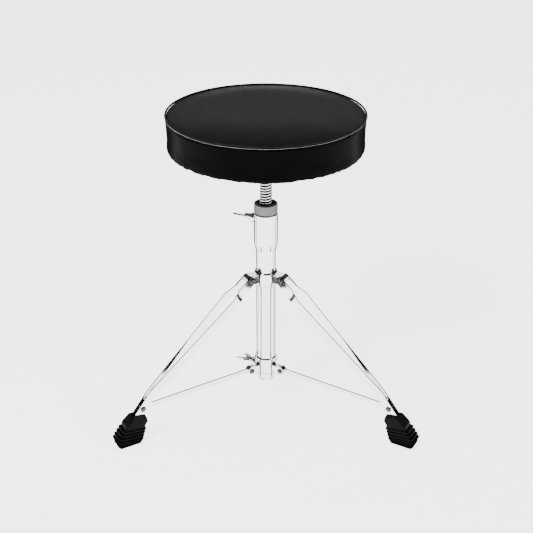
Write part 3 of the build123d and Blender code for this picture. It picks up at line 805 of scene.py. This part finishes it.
def stuff(obj, cap, held, shrink):
    """Swells a cover by cloth simulation under pressure, each point moving no further than cap."""
    rest = np.array([v.co for v in obj.data.vertices], float)
    pinned = [i for i, co in enumerate(rest) if held(co)]
    obj.vertex_groups.new(name="held").add(pinned, 1.0, "REPLACE")
    cloth = obj.modifiers.new("cloth", "CLOTH")
    settings = cloth.settings
    settings.quality = 6
    settings.mass = 0.3
    settings.tension_stiffness = 25
    settings.compression_stiffness = 25
    settings.shear_stiffness = 12
    settings.bending_stiffness = 2.0
    settings.use_pressure = True
    settings.uniform_pressure_force = CLOTH_PRESSURE
    settings.vertex_group_mass = "held"
    settings.pin_stiffness = 1.0
    settings.effector_weights.gravity = 0.0
    settings.shrink_min = shrink
    cloth.collision_settings.use_self_collision = False
    cloth.point_cache.frame_start = 1
    cloth.point_cache.frame_end = CLOTH_FRAMES
    scene = bpy.context.scene
    for step in range(1, CLOTH_FRAMES + 1):
        scene.frame_set(step)
    evaluated = obj.evaluated_get(bpy.context.evaluated_depsgraph_get())
    moved = np.array([v.co for v in evaluated.data.vertices], float)
    obj.modifiers.remove(cloth)
    obj.vertex_groups.clear()
    scene.frame_set(1)
    shift = moved - rest
    length = np.linalg.norm(shift, axis=1)
    limited = np.tanh(length / cap) * cap
    shift *= (limited / np.maximum(length, 1e-9))[:, None]
    obj.data.vertices.foreach_set("co", (rest + shift).ravel())
    obj.data.update()


def finish_cover(obj, look, slot, fill, *nodes):
    obj.data.materials.append(MATERIALS[look])
    shade_smooth(obj)
    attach(obj, "seat")
    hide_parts(*nodes)


# ---------------------------------------------------------------- piping and stitches


def rim_wander(angle):
    """Small hand-made unevenness of the sewn rim, outward and upward, in metres."""
    spot = Vector((math.cos(angle) * 2.5, math.sin(angle) * 2.5, 0.4))
    out, up = noise.noise(spot), noise.noise(spot + Vector((0, 0, 7)))
    return RIM_WANDER_OUT * out, RIM_WANDER_UP * up


def build_welt():
    """Piping cord sewn round the rim, a little uneven in its place and thickness."""
    verts, faces = [], []
    for i in range(PIPING_STEPS):
        angle = 2 * math.pi * i / PIPING_STEPS
        out, up = rim_wander(angle)
        pinch = 1.0 - PIPING_PINCH * (0.5 + 0.5 * math.cos(angle * STITCH_COUNT / 2))
        for j in range(PIPING_SIDES):
            turn = 2 * math.pi * j / PIPING_SIDES
            radius = SEAT_RADIUS - PIPING_RADIUS + out + PIPING_RADIUS * pinch * math.cos(turn)
            z = RIM_Z + up + PIPING_RADIUS * pinch * math.sin(turn)
            verts.append((radius * math.cos(angle), radius * math.sin(angle), z))
        a = i * PIPING_SIDES
        b = (i + 1) % PIPING_STEPS * PIPING_SIDES
        for j in range(PIPING_SIDES):
            k = (j + 1) % PIPING_SIDES
            faces.append((a + j, b + j, b + k, a + k))
    welt = mesh_object("seat_piping", verts, faces)
    welt.data.materials.append(MATERIALS["piping"])
    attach(welt, "seat")
    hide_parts("seat_welt")


def surface_finder(side):
    """Radius of the band's skin at an angle and height, found by a ray from outside."""
    polygons = [p.vertices[:] for p in side.data.polygons]
    tree = BVHTree.FromPolygons([v.co[:] for v in side.data.vertices], polygons)
    outside = 0.2

    def radius_at(angle, z):
        inward = Vector((-math.cos(angle), -math.sin(angle), 0))
        start = Vector((-inward.x * outside, -inward.y * outside, z))
        hit = tree.ray_cast(start, inward)[0]
        return SEAT_RADIUS - 0.003 if hit is None else math.hypot(hit.x, hit.y)

    return radius_at


def build_stitches(side):
    """Row of short thread stitches on the band, close under the piping."""
    verts, faces = [], []
    pitch = 2 * math.pi / STITCH_COUNT
    surface = surface_finder(side)
    for i in range(STITCH_COUNT):
        start = len(verts)
        for k in range(STITCH_STEPS + 1):
            share = k / STITCH_STEPS
            angle = pitch * (i + STITCH_START + STITCH_LENGTH * share)
            z = RIM_Z + rim_wander(angle)[1] - WELT_RADIUS - STITCH_DROP
            arch = math.sin(math.pi * share)
            middle = surface(angle, z) + STITCH_ARCH * arch
            thick = STITCH_RADIUS * (0.35 + 0.65 * arch ** 0.5)
            for j in range(STITCH_SIDES):
                turn = 2 * math.pi * j / STITCH_SIDES
                radius = middle + thick * math.cos(turn)
                height = z + thick * math.sin(turn)
                verts.append((radius * math.cos(angle), radius * math.sin(angle), height))
        for k in range(STITCH_STEPS):
            a = start + k * STITCH_SIDES
            b = a + STITCH_SIDES
            for j in range(STITCH_SIDES):
                m = (j + 1) % STITCH_SIDES
                faces.append((a + j, b + j, b + m, a + m))
        last = start + STITCH_STEPS * STITCH_SIDES
        faces.append(tuple(start + j for j in range(STITCH_SIDES)))
        faces.append(tuple(last + j for j in reversed(range(STITCH_SIDES))))
    stitches = mesh_object("seat_stitches", verts, faces)
    stitches.data.materials.append(MATERIALS["stitch"])
    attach(stitches, "seat")


# ---------------------------------------------------------------- studio


def build_floor():
    """Pale floor with a glow of its own."""
    r = FLOOR_REACH
    corners = [(-r, -r, 0), (r, -r, 0), (r, r, 0), (-r, r, 0)]
    floor = mesh_object("studio_floor", corners, [(0, 1, 2, 3)], smooth=False)
    n = Nodes("studio_floor")
    n.base(n.noise(3.0, detail=2.0), (0.3, 0.80), (0.7, 0.82))
    n.set(Roughness=0.9, Specular_IOR_Level=0.1)
    n.set(Emission_Color=rgba(1.0), Emission_Strength=FLOOR_GLOW)
    floor.data.materials.append(n.material)


def build_world():
    """Dim at the horizon, dark above it and bright overhead, behind a plain one for the camera."""
    world = bpy.data.worlds.new("studio")
    world.use_nodes = True
    tree = world.node_tree
    coords = tree.nodes.new("ShaderNodeTexCoord")
    parts = tree.nodes.new("ShaderNodeSeparateXYZ")
    tree.links.new(coords.outputs["Generated"], parts.inputs[0])
    ramp = tree.nodes.new("ShaderNodeValToRGB")
    fill_ramp(ramp.color_ramp, [(0.0, 0.30), (0.25, 0.02), (0.78, 0.03), (0.94, 1.0)])
    tree.links.new(parts.outputs["Z"], ramp.inputs["Fac"])
    room = tree.nodes["Background"]
    room.inputs["Strength"].default_value = CEILING_LIGHT
    tree.links.new(ramp.outputs["Color"], room.inputs["Color"])
    pale = tree.nodes.new("ShaderNodeBackground")
    pale.inputs["Color"].default_value = rgba(1.0)
    pale.inputs["Strength"].default_value = BACKDROP_LIGHT
    path = tree.nodes.new("ShaderNodeLightPath")
    mix = tree.nodes.new("ShaderNodeMixShader")
    tree.links.new(path.outputs["Is Camera Ray"], mix.inputs["Fac"])
    tree.links.new(room.outputs[0], mix.inputs[1])
    tree.links.new(pale.outputs[0], mix.inputs[2])
    tree.links.new(mix.outputs[0], tree.nodes["World Output"].inputs["Surface"])
    bpy.context.scene.world = world


def build_flags():
    """Black flags laid out from the column like rays, which only the plating's reflections see."""
    n = Nodes("studio_flag")
    n.base(n.noise(40.0), (0.3, 0.012), (0.7, 0.02))
    n.set(Roughness=0.9, Specular_IOR_Level=0.0)
    verts, faces = [], []
    for middle, spread, far in FLAG_RAYS:
        start = len(verts)
        for reach in (FLAG_START, far):
            for side in (-0.5, 0.5):
                turn = math.radians(middle + side * spread)
                verts.append((reach * math.cos(turn), reach * math.sin(turn), FLAG_HEIGHT))
        faces.append((start, start + 2, start + 3, start + 1))
    flags = mesh_object("studio_flags", verts, faces, smooth=False)
    flags.data.materials.append(n.material)
    flags.visible_camera = False
    flags.visible_diffuse = False
    flags.visible_shadow = False


def area_light(name, place, target, size, power):
    data = bpy.data.lights.new(name, "AREA")
    data.shape = "RECTANGLE"
    data.size, data.size_y = size
    data.energy = power
    light = bpy.data.objects.new(name, data)
    light.location = place
    aim = Vector(target) - Vector(place)
    light.rotation_euler = aim.to_track_quat("-Z", "Y").to_euler()
    bpy.context.scene.collection.objects.link(light)


def build_lights():
    middle, seat = (0, 0, 0.3), (0, 0, 0.5)
    area_light("key", place=(-1.3, -1.5, 2.4), target=middle, size=(0.8, 0.8), power=80)
    area_light("fill", place=(1.9, -1.0, 1.5), target=middle, size=(0.6, 1.4), power=16)
    area_light("back", place=(0.2, 2.6, 1.75), target=seat, size=(2.4, 0.5), power=10)


def build_camera():
    """The view of the photograph: a little above the seat, square to the front."""
    data = bpy.data.cameras.new("view")
    data.sensor_width = 36.0
    data.lens = CAMERA_LENS
    camera = bpy.data.objects.new("view", data)
    camera.location = CAMERA_PLACE
    camera.rotation_euler = (math.pi / 2 - CAMERA_DOWN, 0, 0)
    bpy.context.scene.collection.objects.link(camera)
    bpy.context.scene.camera = camera


build_camera()
build_floor()
build_world()
build_flags()
build_lights()
dress_cad_nodes()
build_spindle()
build_top()
seat_side = build_side()
build_welt()
build_stitches(seat_side)
